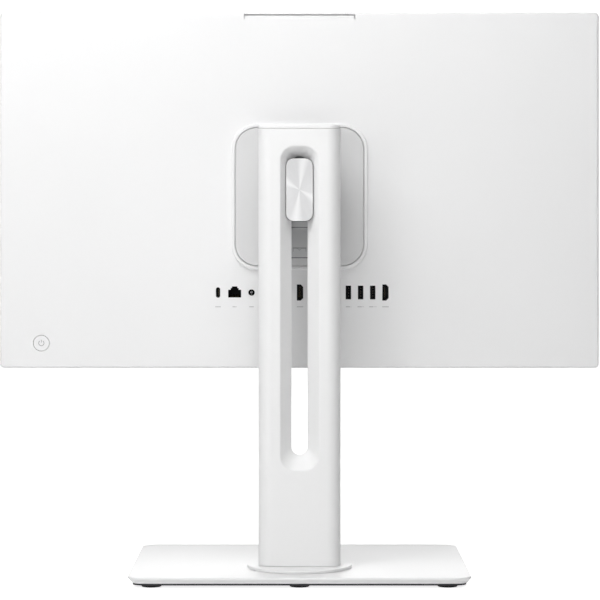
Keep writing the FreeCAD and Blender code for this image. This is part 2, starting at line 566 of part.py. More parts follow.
b = new_body("thumbscrew")
pad(b, "XY", 1.0, 3.2, circ(0, d.disc_back, 27.0))
pad(b, "XY", 3.2, d.base_skirt, circ(0, d.disc_back, 34.0))
pad(b, "XY", d.base_skirt, 10.6, circ(0, d.disc_back, 6.0))
pocket(b, "XY", 1.0, 2.2, rect(-10.0, 43.2, 10.0, 44.8))

# ---------------------------------------------------------------- base
bs = [(100.0, 60.0), (-100.0, 60.0), (100.0, -60.0), (-100.0, -60.0)]
hole = d.spindle_dia + 2 * d.run_clear
b = new_body("base_cover")
pad(b, "XY", d.base_skirt, d.base_high, rect(-d.base_half_x, -d.base_half_y, d.base_half_x, d.base_half_y, d.base_round))
chamfer(b, d.base_bevel, at_z(d.base_skirt))
fillet(b, 0.8, at_z(d.base_high))
pocket(b, "XY", d.base_skirt, d.base_inner, rect(-d.base_half_x + d.base_rim, -d.base_half_y + d.base_rim, d.base_half_x - d.base_rim, d.base_half_y - d.base_rim, d.base_round - d.base_rim))
pocket(b, "XY", d.base_inner, d.base_high, circ(0, d.disc_back, hole))

b = new_body("base_weight")
pad(b, "XY", d.base_skirt, d.base_inner, rect(-d.base_half_x + d.base_rim + 0.2, -d.base_half_y + d.base_rim + 0.2, d.base_half_x - d.base_rim - 0.2, d.base_half_y - d.base_rim - 0.2, d.base_round - d.base_rim - 0.2))
pocket(b, "XY", d.base_skirt, d.base_inner, circ(0, d.disc_back, hole), *[circ(x, y, 3.9) for x, y in bs])

b = new_body("base_underplate")
pad(b, "XY", d.foot_high, d.base_skirt, rect(-d.base_half_x + 4.4, -d.base_half_y + 4.4, d.base_half_x - 4.4, d.base_half_y - 4.4, d.base_round - 4.4))
pocket(b, "XY", d.foot_high, d.base_skirt, circ(0, d.disc_back, 46.0), *[circ(x, y, 3.9) for x, y in bs])

b = new_body("base_feet")
pad(b, "XY", 0.0, d.foot_high, *[circ(sx * d.foot_x if sx else 0.0, sy * d.foot_y, d.foot_dia) for sx in (-1, 0, 1) for sy in (-1, 1)])
fillet(b, 0.6, at_z(0.0))

b = new_body("base_screws")
pad(b, "XY", 1.2, d.foot_high, *[circ(x, y, 7.0) for x, y in bs])
pad(b, "XY", d.foot_high, 7.2, *[circ(x, y, 3.9) for x, y in bs])
pocket(b, "XY", 1.2, 2.0, *[rect(x - 1.4, y - 1.4, x + 1.4, y + 1.4) for x, y in bs])

b = new_body("swivel_washer")
pad(b, "XY", d.base_high, d.disc_low, circ(0, d.disc_back, 80.0), circ(0, d.disc_back, 20.0))

# ---------------------------------------------------------------- computer inside the head
br = d.board_rear
bf = br - d.board_thick
sp = [(-228, 240), (-228, 366), (-89, 366), (-155, 268), (20, 238), (84, 258)]
b = new_body("motherboard")
pad(b, "XZ", bf, br, poly((-235, 232), (90, 232), (90, 263), (-70, 263), (-70, 372), (-235, 372)))
pocket(b, "XZ", bf, br, *[circ(x, z, 3.2) for x, z in sp])
pad(b, "XZ", br, br + 1.2, rect(-138, 300, -102, 336, 1.0), rect(-96, 300, -88, 326))
pad(b, "XZ", br, br + 9.5, rect(-231, 298.2, -161, 304.2))
pad(b, "XZ", br, br + 3.2, circ(-200, 338, 20.0))

b = new_body("standoffs")
pad(b, "XZ", frame1, bf, *[circ(x, z, 6.0) for x, z in sp])
pad(b, "XZ", br, br + 1.2, *[circ(x, z, 5.4) for x, z in sp])
pad(b, "XZ", bf, br, *[circ(x, z, 3.0) for x, z in sp])
pad(b, "XZ", frame1, -33.0, circ(224, 194, 5.0), circ(244, 212, 5.0))

b = new_body("chassis_screws")
pad(b, "XZ", -46.0, d.frame_front, *[circ(x, z, 5.6) for x, z in posts])
pad(b, "XZ", d.frame_front, -37.0, *[circ(x, z, 2.6) for x, z in posts])

b = new_body("ram_modules")
pad(b, "XZ", br + 1.0, br + 4.2, rect(-229.8, 268.4, -162.2, 298.2))
pad(b, "XZ", br + 5.2, br + 8.4, rect(-229.8, 268.4, -162.2, 298.2))

b = new_body("ssd")
pad(b, "XZ", br, br + 0.8, rect(-220, 244, -140, 264))
pad(b, "XZ", br + 0.8, br + 2.2, rect(-214, 246, -196, 262), rect(-190, 246, -172, 262), rect(-162, 248, -150, 260))

cold = br + 1.2
b = new_body("heat_pipe")
pad(b, "XZ", cold, cold + 2.6, rect(-142, 296, -98, 340, 2.0))
path = b.newObject("Sketcher::SketchObject", "PipePath")
path.AttachmentSupport = [(origin_plane(b, "XZ"), "")]
path.MapMode = "FlatFace"
py = cold + 2.6 + 3.0
path.AttachmentOffset = Placement(Vector(0, 0, -f(py)), Rotation())
path.setExpression("AttachmentOffset.Base.z", (-py).x)
path.addGeometry([Part.LineSegment(Vector(-120, 300, 0), Vector(-120, 455, 0)),
                  Part.ArcOfCircle(Part.Circle(Vector(-136, 455, 0), Vector(0, 0, 1), 16.0), 0, math.pi / 2),
                  Part.LineSegment(Vector(-136, 471, 0), Vector(-212, 471, 0))], False)
CC = Sketcher.Constraint
path.addConstraint([CC("Tangent", 0, 2, 1, 1), CC("Tangent", 1, 2, 2, 1), CC("Vertical", 0), CC("Horizontal", 2), CC("Radius", 1, 16.0),
                    CC("DistanceX", -1, 1, 0, 1, -120.0), CC("DistanceY", -1, 1, 0, 1, 300.0),
                    CC("DistanceX", -1, 1, 2, 2, -212.0), CC("DistanceY", -1, 1, 2, 2, 471.0)])
ring = sketch(b, "XY", 300.0, circ(-120.0, py, 5.9))
pipe = b.newObject("PartDesign::AdditivePipe", "HeatPipeRun")
pipe.Profile = ring
pipe.Spine = path

b = new_body("heatsink_fins")
fin0 = py - 3.0
pad(b, "XZ", fin0 - 0.8, fin0, rect(-214, 458, -136, 484))
v = pad(b, "XZ", fin0 - 12.0, fin0 - 0.8, rect(-214, 458, -213.4, 484))
row_of(b, v, v.Profile[0], "H_Axis", 77.4, 31)

fx, fz = d.fan_x, d.fan_up
b = new_body("fan_housing")
pad(b, "XZ", -43.6, -27.0, rect(fx - 40, fz - 40, fx + 40, fz + 40, 6.0))
pocket(b, "XZ", -42.0, -27.0, circ(fx, fz, d.fan_dia + 5.0))
pocket(b, "XZ", -41.0, -30.0, rect(fx - 32, fz + 20, fx + 32, fz + 41))
pad(b, "XZ", -42.0, -38.0, circ(fx, fz, 14.0))
pocket(b, "XZ", -41.4, -38.0, circ(fx, fz, 3.0 + 2 * d.run_clear))

b = new_body("fan_rotor")
pad(b, "XZ", -36.9, -28.6, circ(fx, fz, 28.0))
fillet(b, 1.2, at_y(-28.6))
pad(b, "XZ", -41.0, -36.9, circ(fx, fz, 3.0))
v = pad(b, "XZ", -36.5, -29.6, poly((fx + 13.0, fz - 0.4), (fx + 24.0, fz + 2.6), (fx + 33.4, fz + 8.0), (fx + 33.0, fz + 8.9), (fx + 23.7, fz + 3.6), (fx + 13.0, fz + 0.6)))
blades = b.newObject("PartDesign::PolarPattern", "BladeRing")
blades.Originals = [v]
hub_axis = sketch(b, "XZ", -28.6, circ(0, 0, 2.0), centre=(fx, fz))
blades.Axis = (hub_axis, ["N_Axis"])
blades.Angle = 360.0
blades.Occurrences = 17
b.Tip = blades

b = new_body("fan_cover")
pad(b, "XZ", -27.0, -26.2, rect(fx - 40, fz - 40, fx + 40, fz + 40, 6.0), circ(fx, fz, 52.0))

b = new_body("speakers")
for sgn in (1, -1):
    x0, x1 = (100.0, 200.0) if sgn > 0 else (-200.0, -100.0)
    pad(b, "XZ", -43.0, -24.6, rect(x0, 184.6, x1, 206.6, 2.0))
    pocket(b, "XY", 184.6, 186.2, rect(x0 + 6, -41.5, x0 + 70, -26.5, 6.0))
    pad(b, "XY", 185.0, 186.2, rect(x0 + 9, -39.5, x0 + 67, -28.5, 4.0))

b = new_body("power_switch_board")
pad(b, "XZ", -33.0, -31.4, rect(219, 189, 248, 217, 1.0))
pad(b, "XZ", -31.4, -28.2, rect(d.power_x - 3, d.power_up - 3, d.power_x + 3, d.power_up + 3))

b = new_body("power_button")
pad(b, "XZ", -23.2, -19.1, circ(d.power_x, d.power_up, d.power_dia))
fillet(b, 0.4, at_y(-19.1))
pad(b, "XZ", -23.2, -22.0, circ(d.power_x, d.power_up, d.power_dia + 4))
pad(b, "XZ", -27.1, -23.2, circ(d.power_x, d.power_up, 4.0))

# connectors stand on the board and reach to the cover
pf = d.port_face
b = new_body("usb_shells")
pad(b, "XZ", br, pf, rect(73.5 - 1.75, PU - 4.6, 73.5 + 1.75, PU + 4.6, 1.7), *[rect(x - 2.8, PU - 6.55, x + 2.8, PU + 6.55, 0.5) for x in usb_a])
pocket(b, "XZ", br + 1.5, pf, rect(73.5 - 1.4, PU - 4.25, 73.5 + 1.4, PU + 4.25, 1.38), *[rect(x - 2.4, PU - 6.15, x + 2.4, PU + 6.15, 0.2) for x in usb_a])

b = new_body("hdmi_shells")
pad(b, "XZ", br, pf, hdmi_outline(hdmi[0], 2.8, 7.6, 2.2), hdmi_outline(hdmi[1], 2.8, 7.6, 2.2))
pocket(b, "XZ", br + 1.5, pf, hdmi_outline(hdmi[0], 2.4, 7.1, 2.0), hdmi_outline(hdmi[1], 2.4, 7.1, 2.0))

b = new_body("port_tongues")
pad(b, "XZ", br + 1.5, pf - 1.0, rect(73.5 - 0.35, PU - 3.3, 73.5 + 0.35, PU + 3.3),
    *([rect(x - 0.2, PU - 5.5, x + 1.6, PU + 5.5) for x in usb_a] + [rect(x - 0.7, PU - 5.6, x + 0.7, PU + 5.6) for x in hdmi]))

b = new_body("ethernet_jack")
pad(b, "XZ", br, pf, rect(58.5 - 7.9, PU - 7.0, 58.5 + 7.9, PU + 7.4, 0.5))
pocket(b, "XZ", br + 1.5, pf, jack_outline(58.5, 0.15))

b = new_body("dc_jack")
pad(b, "XZ", br, pf, rect(43.3 - 5.2, PU - 6.0, 43.3 + 5.2, PU + 6.0, 1.0))
pocket(b, "XZ", br + 1.8, pf, circ(43.3, PU, 5.6))
pad(b, "XZ", br + 1.8, -20.6, circ(43.3, PU, 1.7))

# ---------------------------------------------------------------- pop-up camera
b = new_body("camera_bar")
pad(b, "XZ", -42.4, -30.4, rect(-46.8, 452.0, 46.8, 499.2))
pocket(b, "XZ", -42.4, -41.6, rect(-42.0, 478.0, 42.0, 497.0, 3.0))
pocket(b, "XZ", -34.4, -30.4, rect(-40.0, 455.0, 40.0, 474.0, 2.0))

b = new_body("camera_cap")
pad(b, "XZ", -43.1, -19.4, rect(-d.cam_half, 499.2, d.cam_half, d.case_top))

b = new_body("camera_lens")
pad(b, "XZ", -42.3, -41.6, circ(0, 487.6, 9.0), circ(-14, 487.6, 3.0), circ(14, 487.6, 3.0))
pocket(b, "XZ", -42.3, -42.0, circ(0, 487.6, 5.0))

b = new_body("camera_guides")
pad(b, "XZ", frame1, -28.0, rect(47.1, 446, 50.4, 486), rect(-50.4, 446, -47.1, 486), rect(-47.1, 446, -30.0, 451.8), rect(30.0, 446, 47.1, 451.8))

# ---------------------------------------------------------------- check and write
doc.recompute()
problems = []
for o in doc.Objects:
    if "Invalid" in o.State or "Error" in o.State:
        problems.append("%s %s" % (o.Name, o.State))
for b in SUBPARTS:
    shape = b.Shape
    if shape.isNull() or not shape.isValid():
        problems.append("%s shape" % b.Name)
    last = None
    for o in b.Group:
        if o.TypeId.startswith("PartDesign::") and hasattr(o, "Shape"):
            vol = o.Shape.Volume
            if last is not None:
                if o.TypeId in ("PartDesign::Pocket", "PartDesign::SubtractiveLoft") and vol > last - 1e-3:
                    problems.append("%s in %s cuts nothing" % (o.Name, b.Name))
                if o.TypeId == "PartDesign::Pad" and vol < last + 1e-3:
                    problems.append("%s in %s adds nothing" % (o.Name, b.Name))
            last = vol
if problems:
    raise RuntimeError("; ".join(problems))

os.makedirs("parts", exist_ok=True)
for b in SUBPARTS:
    b.Shape.exportStep("parts/%s.step" % b.Label)
box = SUBPARTS[0].Shape.BoundBox
for b in SUBPARTS:
    box.add(b.Shape.BoundBox)
print(len(SUBPARTS), "sub-parts", box)
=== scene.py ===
import bpy, bmesh, math
from mathutils import Vector, Matrix


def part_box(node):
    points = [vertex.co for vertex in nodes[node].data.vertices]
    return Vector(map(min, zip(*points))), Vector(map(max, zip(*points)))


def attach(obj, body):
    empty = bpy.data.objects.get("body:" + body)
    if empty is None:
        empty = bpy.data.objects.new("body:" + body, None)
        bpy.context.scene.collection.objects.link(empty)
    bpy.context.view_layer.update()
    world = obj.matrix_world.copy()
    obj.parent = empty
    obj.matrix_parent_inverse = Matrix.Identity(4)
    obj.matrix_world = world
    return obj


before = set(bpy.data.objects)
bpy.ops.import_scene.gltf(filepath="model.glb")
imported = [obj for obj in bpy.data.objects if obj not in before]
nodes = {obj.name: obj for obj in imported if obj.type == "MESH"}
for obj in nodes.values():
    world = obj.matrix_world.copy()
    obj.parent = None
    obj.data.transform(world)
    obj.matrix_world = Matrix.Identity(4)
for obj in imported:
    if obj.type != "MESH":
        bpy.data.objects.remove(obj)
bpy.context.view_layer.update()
scene = bpy.context.scene


def mid(node):
    lo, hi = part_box(node)
    return (lo + hi) / 2


# ------------------------------------------------------------------ materials
class Net:
    """Small helper for building node materials."""

    def __init__(self, name):
        self.m = bpy.data.materials.new(name)
        self.m.use_nodes = True
        self.t = self.m.node_tree
        self.t.nodes.clear()
        self.out = self.n("ShaderNodeOutputMaterial")
        self.b = self.n("ShaderNodeBsdfPrincipled")
        self.t.links.new(self.b.outputs[0], self.out.inputs[0])
        self.co = self.n("ShaderNodeTexCoord").outputs["Object"]

    def n(self, kind, **kw):
        x = self.t.nodes.new(kind)
        for k, v in kw.items():
            setattr(x, k, v)
        return x

    def link(self, a, b):
        self.t.links.new(a, b)

    def math(self, op, a, b=None, c=None, clamp=False):
        x = self.n("ShaderNodeMath", operation=op, use_clamp=clamp)
        for i, v in enumerate((a, b, c)):
            if v is None:
                continue
            if isinstance(v, (int, float)):
                x.inputs[i].default_value = v
            else:
                self.link(v, x.inputs[i])
        return x.outputs[0]

    def mapped(self, scale, co=None):
        x = self.n("ShaderNodeMapping")
        x.inputs["Scale"].default_value = scale
        self.link(co or self.co, x.inputs["Vector"])
        return x.outputs[0]

    def noise(self, scale, detail=3.0, rough=0.55, co=None, dist=0.0):
        x = self.n("ShaderNodeTexNoise")
        x.inputs["Scale"].default_value = scale
        x.inputs["Detail"].default_value = detail
        x.inputs["Roughness"].default_value = rough
        x.inputs["Distortion"].default_value = dist
        self.link(co or self.co, x.inputs["Vector"])
        return x.outputs["Fac"]

    def voronoi(self, scale, co=None, feature="F1", out="Distance"):
        x = self.n("ShaderNodeTexVoronoi", feature=feature)
        x.inputs["Scale"].default_value = scale
        self.link(co or self.co, x.inputs["Vector"])
        return x.outputs[out]

    def ramp(self, fac, lo, hi, a=0.0, b=1.0):
        x = self.n("ShaderNodeMapRange")
        x.inputs["From Min"].default_value = lo
        x.inputs["From Max"].default_value = hi
        x.inputs["To Min"].default_value = a
        x.inputs["To Max"].default_value = b
        self.link(fac, x.inputs["Value"])
        return x.outputs[0]

    def mix(self, fac, a, b, blend="MIX"):
        x = self.n("ShaderNodeMix", data_type="RGBA", blend_type=blend)
        if isinstance(fac, (int, float)):
            x.inputs[0].default_value = fac
        else:
            self.link(fac, x.inputs[0])
        for i, v in ((6, a), (7, b)):
            if isinstance(v, tuple):
                x.inputs[i].default_value = (*v[:3], 1)
            else:
                self.link(v, x.inputs[i])
        return x.outputs[2]

    def edges(self, radius):
        """0 on flat faces, rising to 1 along sharp edges within radius."""
        bev = self.n("ShaderNodeBevel", samples=4)
        bev.inputs["Radius"].default_value = radius
        geo = self.n("ShaderNodeNewGeometry")
        dot = self.n("ShaderNodeVectorMath", operation="DOT_PRODUCT")
        self.link(bev.outputs[0], dot.inputs[0])
        self.link(geo.outputs["Normal"], dot.inputs[1])
        return self.ramp(dot.outputs["Value"], 0.995, 0.86)

    def bump(self, height, distance, strength=1.0, under=None):
        x = self.n("ShaderNodeBump")
        x.inputs["Strength"].default_value = strength
        x.inputs["Distance"].default_value = distance
        self.link(height, x.inputs["Height"])
        if under is not None:
            self.link(under, x.inputs["Normal"])
        return x.outputs[0]

    def set(self, **kw):
        for k, v in kw.items():
            s = self.b.inputs[k.replace("_", " ")]
            if hasattr(v, "links"):
                self.link(v, s)
            elif isinstance(v, tuple):
                s.default_value = (*v[:3], 1)
            else:
                s.default_value = v
        return self.m


def shade(c, k):
    return tuple(min(1.0, x * k) for x in c[:3])


def plastic(name, color, rough=0.42, grain=2600.0, depth=0.000012, vary=0.03, edge=1.06, spec=0.5, coat=0.0):
    """Moulded plastic: fine spark-eroded grain, faint flow marks, edges rubbed a little shinier."""
    t = Net(name)
    big = t.noise(9.0, 2.0)
    fine = t.noise(grain, 2.0, 0.6)
    cells = t.voronoi(grain * 0.55)
    col = t.mix(t.ramp(big, 0.3, 0.7), shade(color, 1.0 - vary), shade(color, 1.0 + vary * 0.4))
    col = t.mix(t.ramp(fine, 0.35, 0.65, 0.0, 0.35), col, shade(color, 0.965))
    r = t.math("ADD", t.ramp(fine, 0.3, 0.7, rough - 0.035, rough + 0.035), t.ramp(big, 0.3, 0.7, -0.02, 0.02))
    if edge != 1.0:
        worn = t.edges(0.0004)
        col = t.mix(worn, col, shade(color, edge))
        r = t.math("SUBTRACT", r, t.math("MULTIPLY", worn, 0.06))
    h = t.math("ADD", t.math("MULTIPLY", fine, 0.6), t.math("MULTIPLY", cells, 0.7))
    t.set(Base_Color=col, Roughness=r, Normal=t.bump(h, depth))
    t.b.inputs["Specular IOR Level"].default_value = spec
    if coat:
        t.b.inputs["Coat Weight"].default_value = coat
        t.b.inputs["Coat Roughness"].default_value = 0.12
    return t.m


def painted(name, color, rough=0.38, vary=0.03, edge=1.0):
    """Powder-coated metal: fine orange peel with small brightness drift."""
    t = Net(name)
    peel = t.noise(900.0, 3.0, 0.6)
    big = t.noise(14.0, 2.0)
    col = t.mix(t.ramp(big, 0.3, 0.7), shade(color, 1 - vary), shade(color, 1 + vary * 0.5))
    if edge != 1.0:
        col = t.mix(t.edges(0.0004), col, shade(color, edge))
    r = t.ramp(peel, 0.3, 0.7, rough - 0.05, rough + 0.05)
    return t.set(Base_Color=col, Roughness=r, Normal=t.bump(peel, 0.00003))


def brushed(name, color, rough=0.32, axis=0, fine=1400.0, depth=0.00001, aniso=0.5):
    """Rolled or brushed metal with lines along one axis."""
    t = Net(name)
    sc = [fine, fine, fine]
    sc[axis] = fine * 0.018
    lines = t.noise(1.0, 3.0, 0.7, co=t.mapped(tuple(sc)))
    blot = t.noise(30.0, 3.0)
    col = t.mix(t.ramp(lines, 0.3, 0.7), shade(color, 0.86), shade(color, 1.08))
    col = t.mix(t.ramp(blot, 0.4, 0.7, 0.0, 0.25), col, shade(color, 0.8))
    r = t.math("ADD", t.ramp(lines, 0.3, 0.7, rough - 0.07, rough + 0.07), t.ramp(blot, 0.3, 0.7, -0.03, 0.05))
    t.set(Base_Color=col, Roughness=r, Metallic=1.0, Normal=t.bump(lines, depth))
    t.b.inputs["Anisotropic"].default_value = aniso
    return t.m


def spun(name, color, centre, axis="Y", rough=0.3, pitch=5200.0, aniso=0.85, sheen_streak=0.10, metal=1.0, highlight_beams=()):
    """Metal turned about a centre: concentric grooves with anisotropic radial streaks, plus painted sheen rays and
    painted highlight beams in the base colour.
    """
    t = Net(name)
    sub = t.n("ShaderNodeVectorMath", operation="SUBTRACT")
    t.link(t.co, sub.inputs[0])
    sub.inputs[1].default_value = centre
    sep = t.n("ShaderNodeSeparateXYZ")
    t.link(sub.outputs[0], sep.inputs[0])
    a, b = (sep.outputs[0], sep.outputs[2]) if axis == "Y" else (sep.outputs[0], sep.outputs[1])
    rad = t.math("SQRT", t.math("ADD", t.math("MULTIPLY", a, a), t.math("MULTIPLY", b, b)))
    ring = t.n("ShaderNodeCombineXYZ")
    t.link(rad, ring.inputs[0])
    groove = t.noise(pitch, 2.0, 0.7, co=ring.outputs[0])
    ang = t.math("ARCTAN2", b, a)
    fan = t.n("ShaderNodeCombineXYZ")
    t.link(t.math("COSINE", ang), fan.inputs[0])
    t.link(t.math("SINE", ang), fan.inputs[1])
    t.link(t.math("MULTIPLY", rad, 12.0), fan.inputs[2])
    sheen_rays = t.noise(7.0, 3.0, 0.65, co=fan.outputs[0])
    col = t.mix(t.ramp(groove, 0.3, 0.7), shade(color, 0.93), shade(color, 1.05))
    # painted sheen: random radial rays lighten the base colour towards white
    col = t.mix(t.ramp(sheen_rays, 0.35, 0.7, 0.0, sheen_streak), col, (1.0, 1.0, 1.0))
    for deg, width, gain in highlight_beams:
        # painted highlight: the base colour is lightened towards white along a few fixed radii, where the turned finish
        # gathers light
        c = t.math("COSINE", t.math("SUBTRACT", ang, math.radians(deg)))
        k = t.ramp(t.math("ABSOLUTE", c), math.cos(math.radians(width)), 1.0)
        k = t.math("MULTIPLY", k, k)
        col = t.mix(t.math("MULTIPLY", k, gain, clamp=True), col, (1.0, 1.0, 1.0))
    r = t.ramp(groove, 0.3, 0.7, rough - 0.06, rough + 0.06)
    t.set(Base_Color=col, Roughness=r, Metallic=metal, Normal=t.bump(groove, 0.000006))
    t.b.inputs["Anisotropic"].default_value = aniso
    # the grooves run at right angles to the radius
    tan = t.n("ShaderNodeCombineXYZ")
    if axis == "Y":
        t.link(b, tan.inputs[0])
        t.link(t.math("MULTIPLY", a, -1.0), tan.inputs[2])
    else:
        t.link(t.math("MULTIPLY", b, -1.0), tan.inputs[0])
        t.link(a, tan.inputs[1])
    vt = t.n("ShaderNodeVectorTransform", vector_type="VECTOR", convert_from="OBJECT", convert_to="WORLD")
    t.link(tan.outputs[0], vt.inputs[0])
    nv = t.n("ShaderNodeVectorMath", operation="NORMALIZE")
    t.link(vt.outputs[0], nv.inputs[0])
    t.link(nv.outputs[0], t.b.inputs["Tangent"])
    return t.m


def rubber(name, color=(0.02, 0.02, 0.021)):
    t = Net(name)
    n1 = t.noise(1500.0, 4.0, 0.7)
    n2 = t.noise(60.0, 3.0)
    col = t.mix(t.ramp(n2, 0.3, 0.7), shade(color, 0.7), shade(color, 1.5))
    col = t.mix(t.edges(0.0006), col, shade(color, 2.0))
    return t.set(Base_Color=col, Roughness=t.ramp(n1, 0.3, 0.7, 0.72, 0.9), Normal=t.bump(n1, 0.00004))


def board(name, color):
    """Solder mask over copper tracks: fine rectilinear traces under a glossy skin."""
    t = Net(name)
    br = t.n("ShaderNodeTexBrick")
    br.inputs["Scale"].default_value = 260.0
    br.inputs["Mortar Size"].default_value = 0.03
    br.inputs["Color1"].default_value = (0, 0, 0, 1)
    br.inputs["Color2"].default_value = (0.25, 0.25, 0.25, 1)
    br.inputs["Mortar"].default_value = (1, 1, 1, 1)
    sw = t.n("ShaderNodeMapping")
    sw.inputs["Rotation"].default_value = (math.radians(90), 0, 0)
    t.link(t.co, sw.inputs["Vector"])
    t.link(sw.outputs[0], br.inputs["Vector"])
    n = t.noise(90.0, 2.0)
    col = t.mix(br.outputs["Fac"], color, shade(color, 1.9))
    col = t.mix(t.ramp(n, 0.35, 0.65, 0.0, 0.4), col, shade(color, 0.6))
    return t.set(Base_Color=col, Roughness=t.ramp(n, 0.3, 0.7, 0.22, 0.36), Normal=t.bump(br.outputs["Fac"], 0.00003))


def screen(name):
    """Display sheet: near-black with a matte anti-glare grain and a faint cool haze."""
    t = Net(name)
    g = t.noise(5200.0, 2.0, 0.7)
    h = t.noise(4.0, 2.0)
    col = t.mix(t.ramp(h, 0.3, 0.7), (0.006, 0.007, 0.009), (0.012, 0.013, 0.016))
    t.set(Base_Color=col, Roughness=t.ramp(g, 0.3, 0.7, 0.2, 0.3), Normal=t.bump(g, 0.000004))
    t.b.inputs["Specular IOR Level"].default_value = 0.45
    return t.m


def lens(name):
    t = Net(name)
    g = t.noise(300.0, 2.0)
    col = t.mix(t.ramp(g, 0.3, 0.7), (0.008, 0.006, 0.02), (0.02, 0.012, 0.035))
    t.set(Base_Color=col, Roughness=t.ramp(g, 0.3, 0.7, 0.04, 0.08))
    t.b.inputs["Coat Weight"].default_value = 1.0
    t.b.inputs["Coat Roughness"].default_value = 0.02
    return t.m


WHITE = (0.866, 0.866, 0.868)
M = {}
M["shell"] = plastic("white_shell", WHITE, rough=0.46, vary=0.008, edge=1.0)
M["stand"] = plastic("white_stand", (0.885, 0.885, 0.885), rough=0.40, vary=0.006, edge=1.0)
M["plate"] = painted("white_plate", (0.69, 0.69, 0.692), rough=0.42, vary=0.01)
M["inner"] = plastic("light_inner", (0.66, 0.665, 0.67), rough=0.46, vary=0.02)
M["black"] = plastic("black_plastic", (0.018, 0.018, 0.02), rough=0.45, edge=2.2, vary=0.12)
# painted shade: a darker, duller copy of black plastic for the parts inside the port openings
M["socket"] = plastic("socket_plastic_painted_shade", (0.006, 0.006, 0.0063), rough=0.8, edge=1.0, vary=0.1)
M["socket"].node_tree.nodes["Principled BSDF"].inputs["Specular IOR Level"].default_value = 0.25
M["dark"] = plastic("dark_plastic", (0.014, 0.014, 0.015), rough=0.6, edge=1.8, vary=0.1)
M["steel"] = brushed("sheet_steel", (0.56, 0.57, 0.59), rough=0.36)
M["alu"] = brushed("extruded_aluminium", (0.78, 0.79, 0.81), rough=0.3, axis=2)
M["screw"] = brushed("nickel_screw", (0.62, 0.62, 0.63), rough=0.28, axis=1)
# painted shade: connector shells near black, standing for the shade inside the port openings
M["conn"] = brushed("connector_shell_painted_shade", (0.016, 0.016, 0.017), rough=0.46, axis=1)
M["spring"] = brushed("spring_steel", (0.46, 0.47, 0.5), rough=0.25, axis=0)
M["copper"] = brushed("copper_pipe", (0.78, 0.42, 0.25), rough=0.25, axis=2)
M["blacksteel"] = painted("black_steel", (0.03, 0.03, 0.032), rough=0.4, vary=0.1, edge=2.2)
M["cast"] = painted("cast_arm", (0.6, 0.605, 0.61), rough=0.45)
M["pcb"] = board("solder_mask", (0.012, 0.09, 0.045))
M["nylon"] = plastic("natural_nylon", (0.72, 0.7, 0.64), rough=0.5)
M["rubber"] = rubber("foot_rubber")
M["screen"] = screen("display_sheet")
M["lens"] = lens("coated_lens")
cap_c = mid("arm_cap")
# the cap's colour carries painted sheen rays and two painted highlight beams
M["cap"] = spun("spun_cap", (0.625, 0.625, 0.63), tuple(cap_c), "Y", rough=0.34, metal=0.35, aniso=0.7, sheen_streak=0.05,
                highlight_beams=((96.8, 15.0, 0.42), (31.0, 21.0, 0.38)))

USE = {
    "shell": ["rear_cover", "power_button", "camera_cap"],
    "stand": ["column_rear_shell", "column_front_shell", "column_cap", "base_cover", "swivel_disc"],
    "plate": ["pivot_plate"],
    "inner": ["hinge_shroud", "release_latch"],
    "cast": ["lift_arm"],
    "black": ["front_bezel", "fan_housing", "speakers", "camera_guides", "camera_bar", "base_underplate"],
    "socket": ["port_tongues", "ethernet_jack", "dc_jack"],
    "dark": ["fan_rotor"],
    "steel": ["mid_frame", "mount_bracket", "fan_cover", "spring_bracket"],
    "alu": ["heatsink_fins", "guide_rails"],
    "screw": ["chassis_screws", "mount_screws", "standoffs", "tilt_shaft", "tilt_nut", "foot_screws", "thumbscrew", "base_screws"],
    "conn": ["usb_shells", "hdmi_shells"],
    "spring": ["tilt_washers", "spring_coils", "spring_strips"],
    "copper": ["heat_pipe"],
    "blacksteel": ["pivot_hub", "pivot_nut", "tilt_bracket", "column_spine", "column_foot", "base_weight"],
    "pcb": ["motherboard", "ram_modules", "ssd", "power_switch_board"],
    "nylon": ["pivot_washers", "slider_pads", "swivel_washer"],
    "rubber": ["base_feet"],
    "screen": ["display_glass"],
    "lens": ["camera_lens"],
    "cap": ["arm_cap"],
}
M["panel"] = brushed("panel_back", (0.6, 0.61, 0.62), rough=0.4)
USE["panel"] = ["lcd_module"]
for key, names in USE.items():
    for n in names:
        o = nodes[n]
        o.data.materials.clear()
        o.data.materials.append(M[key])
missing = [n for n in nodes if not any(n in v for v in USE.values())]
if missing:
    raise RuntimeError("no material for " + ", ".join(missing))

# ------------------------------------------------------------------ small pieces
MM = 0.001


def block(bm, x0, x1, y0, y1, z0, z1, soft=0.0, seg=2):
    """A block in millimetres with rounded edges."""
    vs = bmesh.ops.create_cube(bm, size=1.0)["verts"]
    lo, hi = (x0, y0, z0), (x1, y1, z1)
    for v in vs:
        v.co = Vector([(lo[i] + (v.co[i] + 0.5) * (hi[i] - lo[i])) * MM for i in range(3)])
    if soft:
        es = list({e for v in vs for e in v.link_edges})
        bmesh.ops.bevel(bm, geom=es, offset=soft * MM, segments=seg, profile=0.5, affect="EDGES", clamp_overlap=True)


def lathe(bm, x, z, prof, seg=36, about="Y"):
    """Turned shape: prof is (radius, place along the axis) in millimetres."""
    rings = []
    for r, y in prof:
        pts = [(x + r * math.cos(2 * math.pi * k / seg), y, z + r * math.sin(2 * math.pi * k / seg)) for k in range(seg if r > 1e-6 else 1)]
        if about == "Z":
            pts = [(a, c, b) for a, b, c in pts]
        rings.append([bm.verts.new(Vector(p) * MM) for p in pts])
    for a, b in zip(rings, rings[1:]):
        for k in range(seg):
            q = [a[k % len(a)], a[(k + 1) % len(a)], b[(k + 1) % len(b)], b[k % len(b)]]
            q = list(dict.fromkeys(q))
            if len(q) > 2:
                bm.faces.new(q)


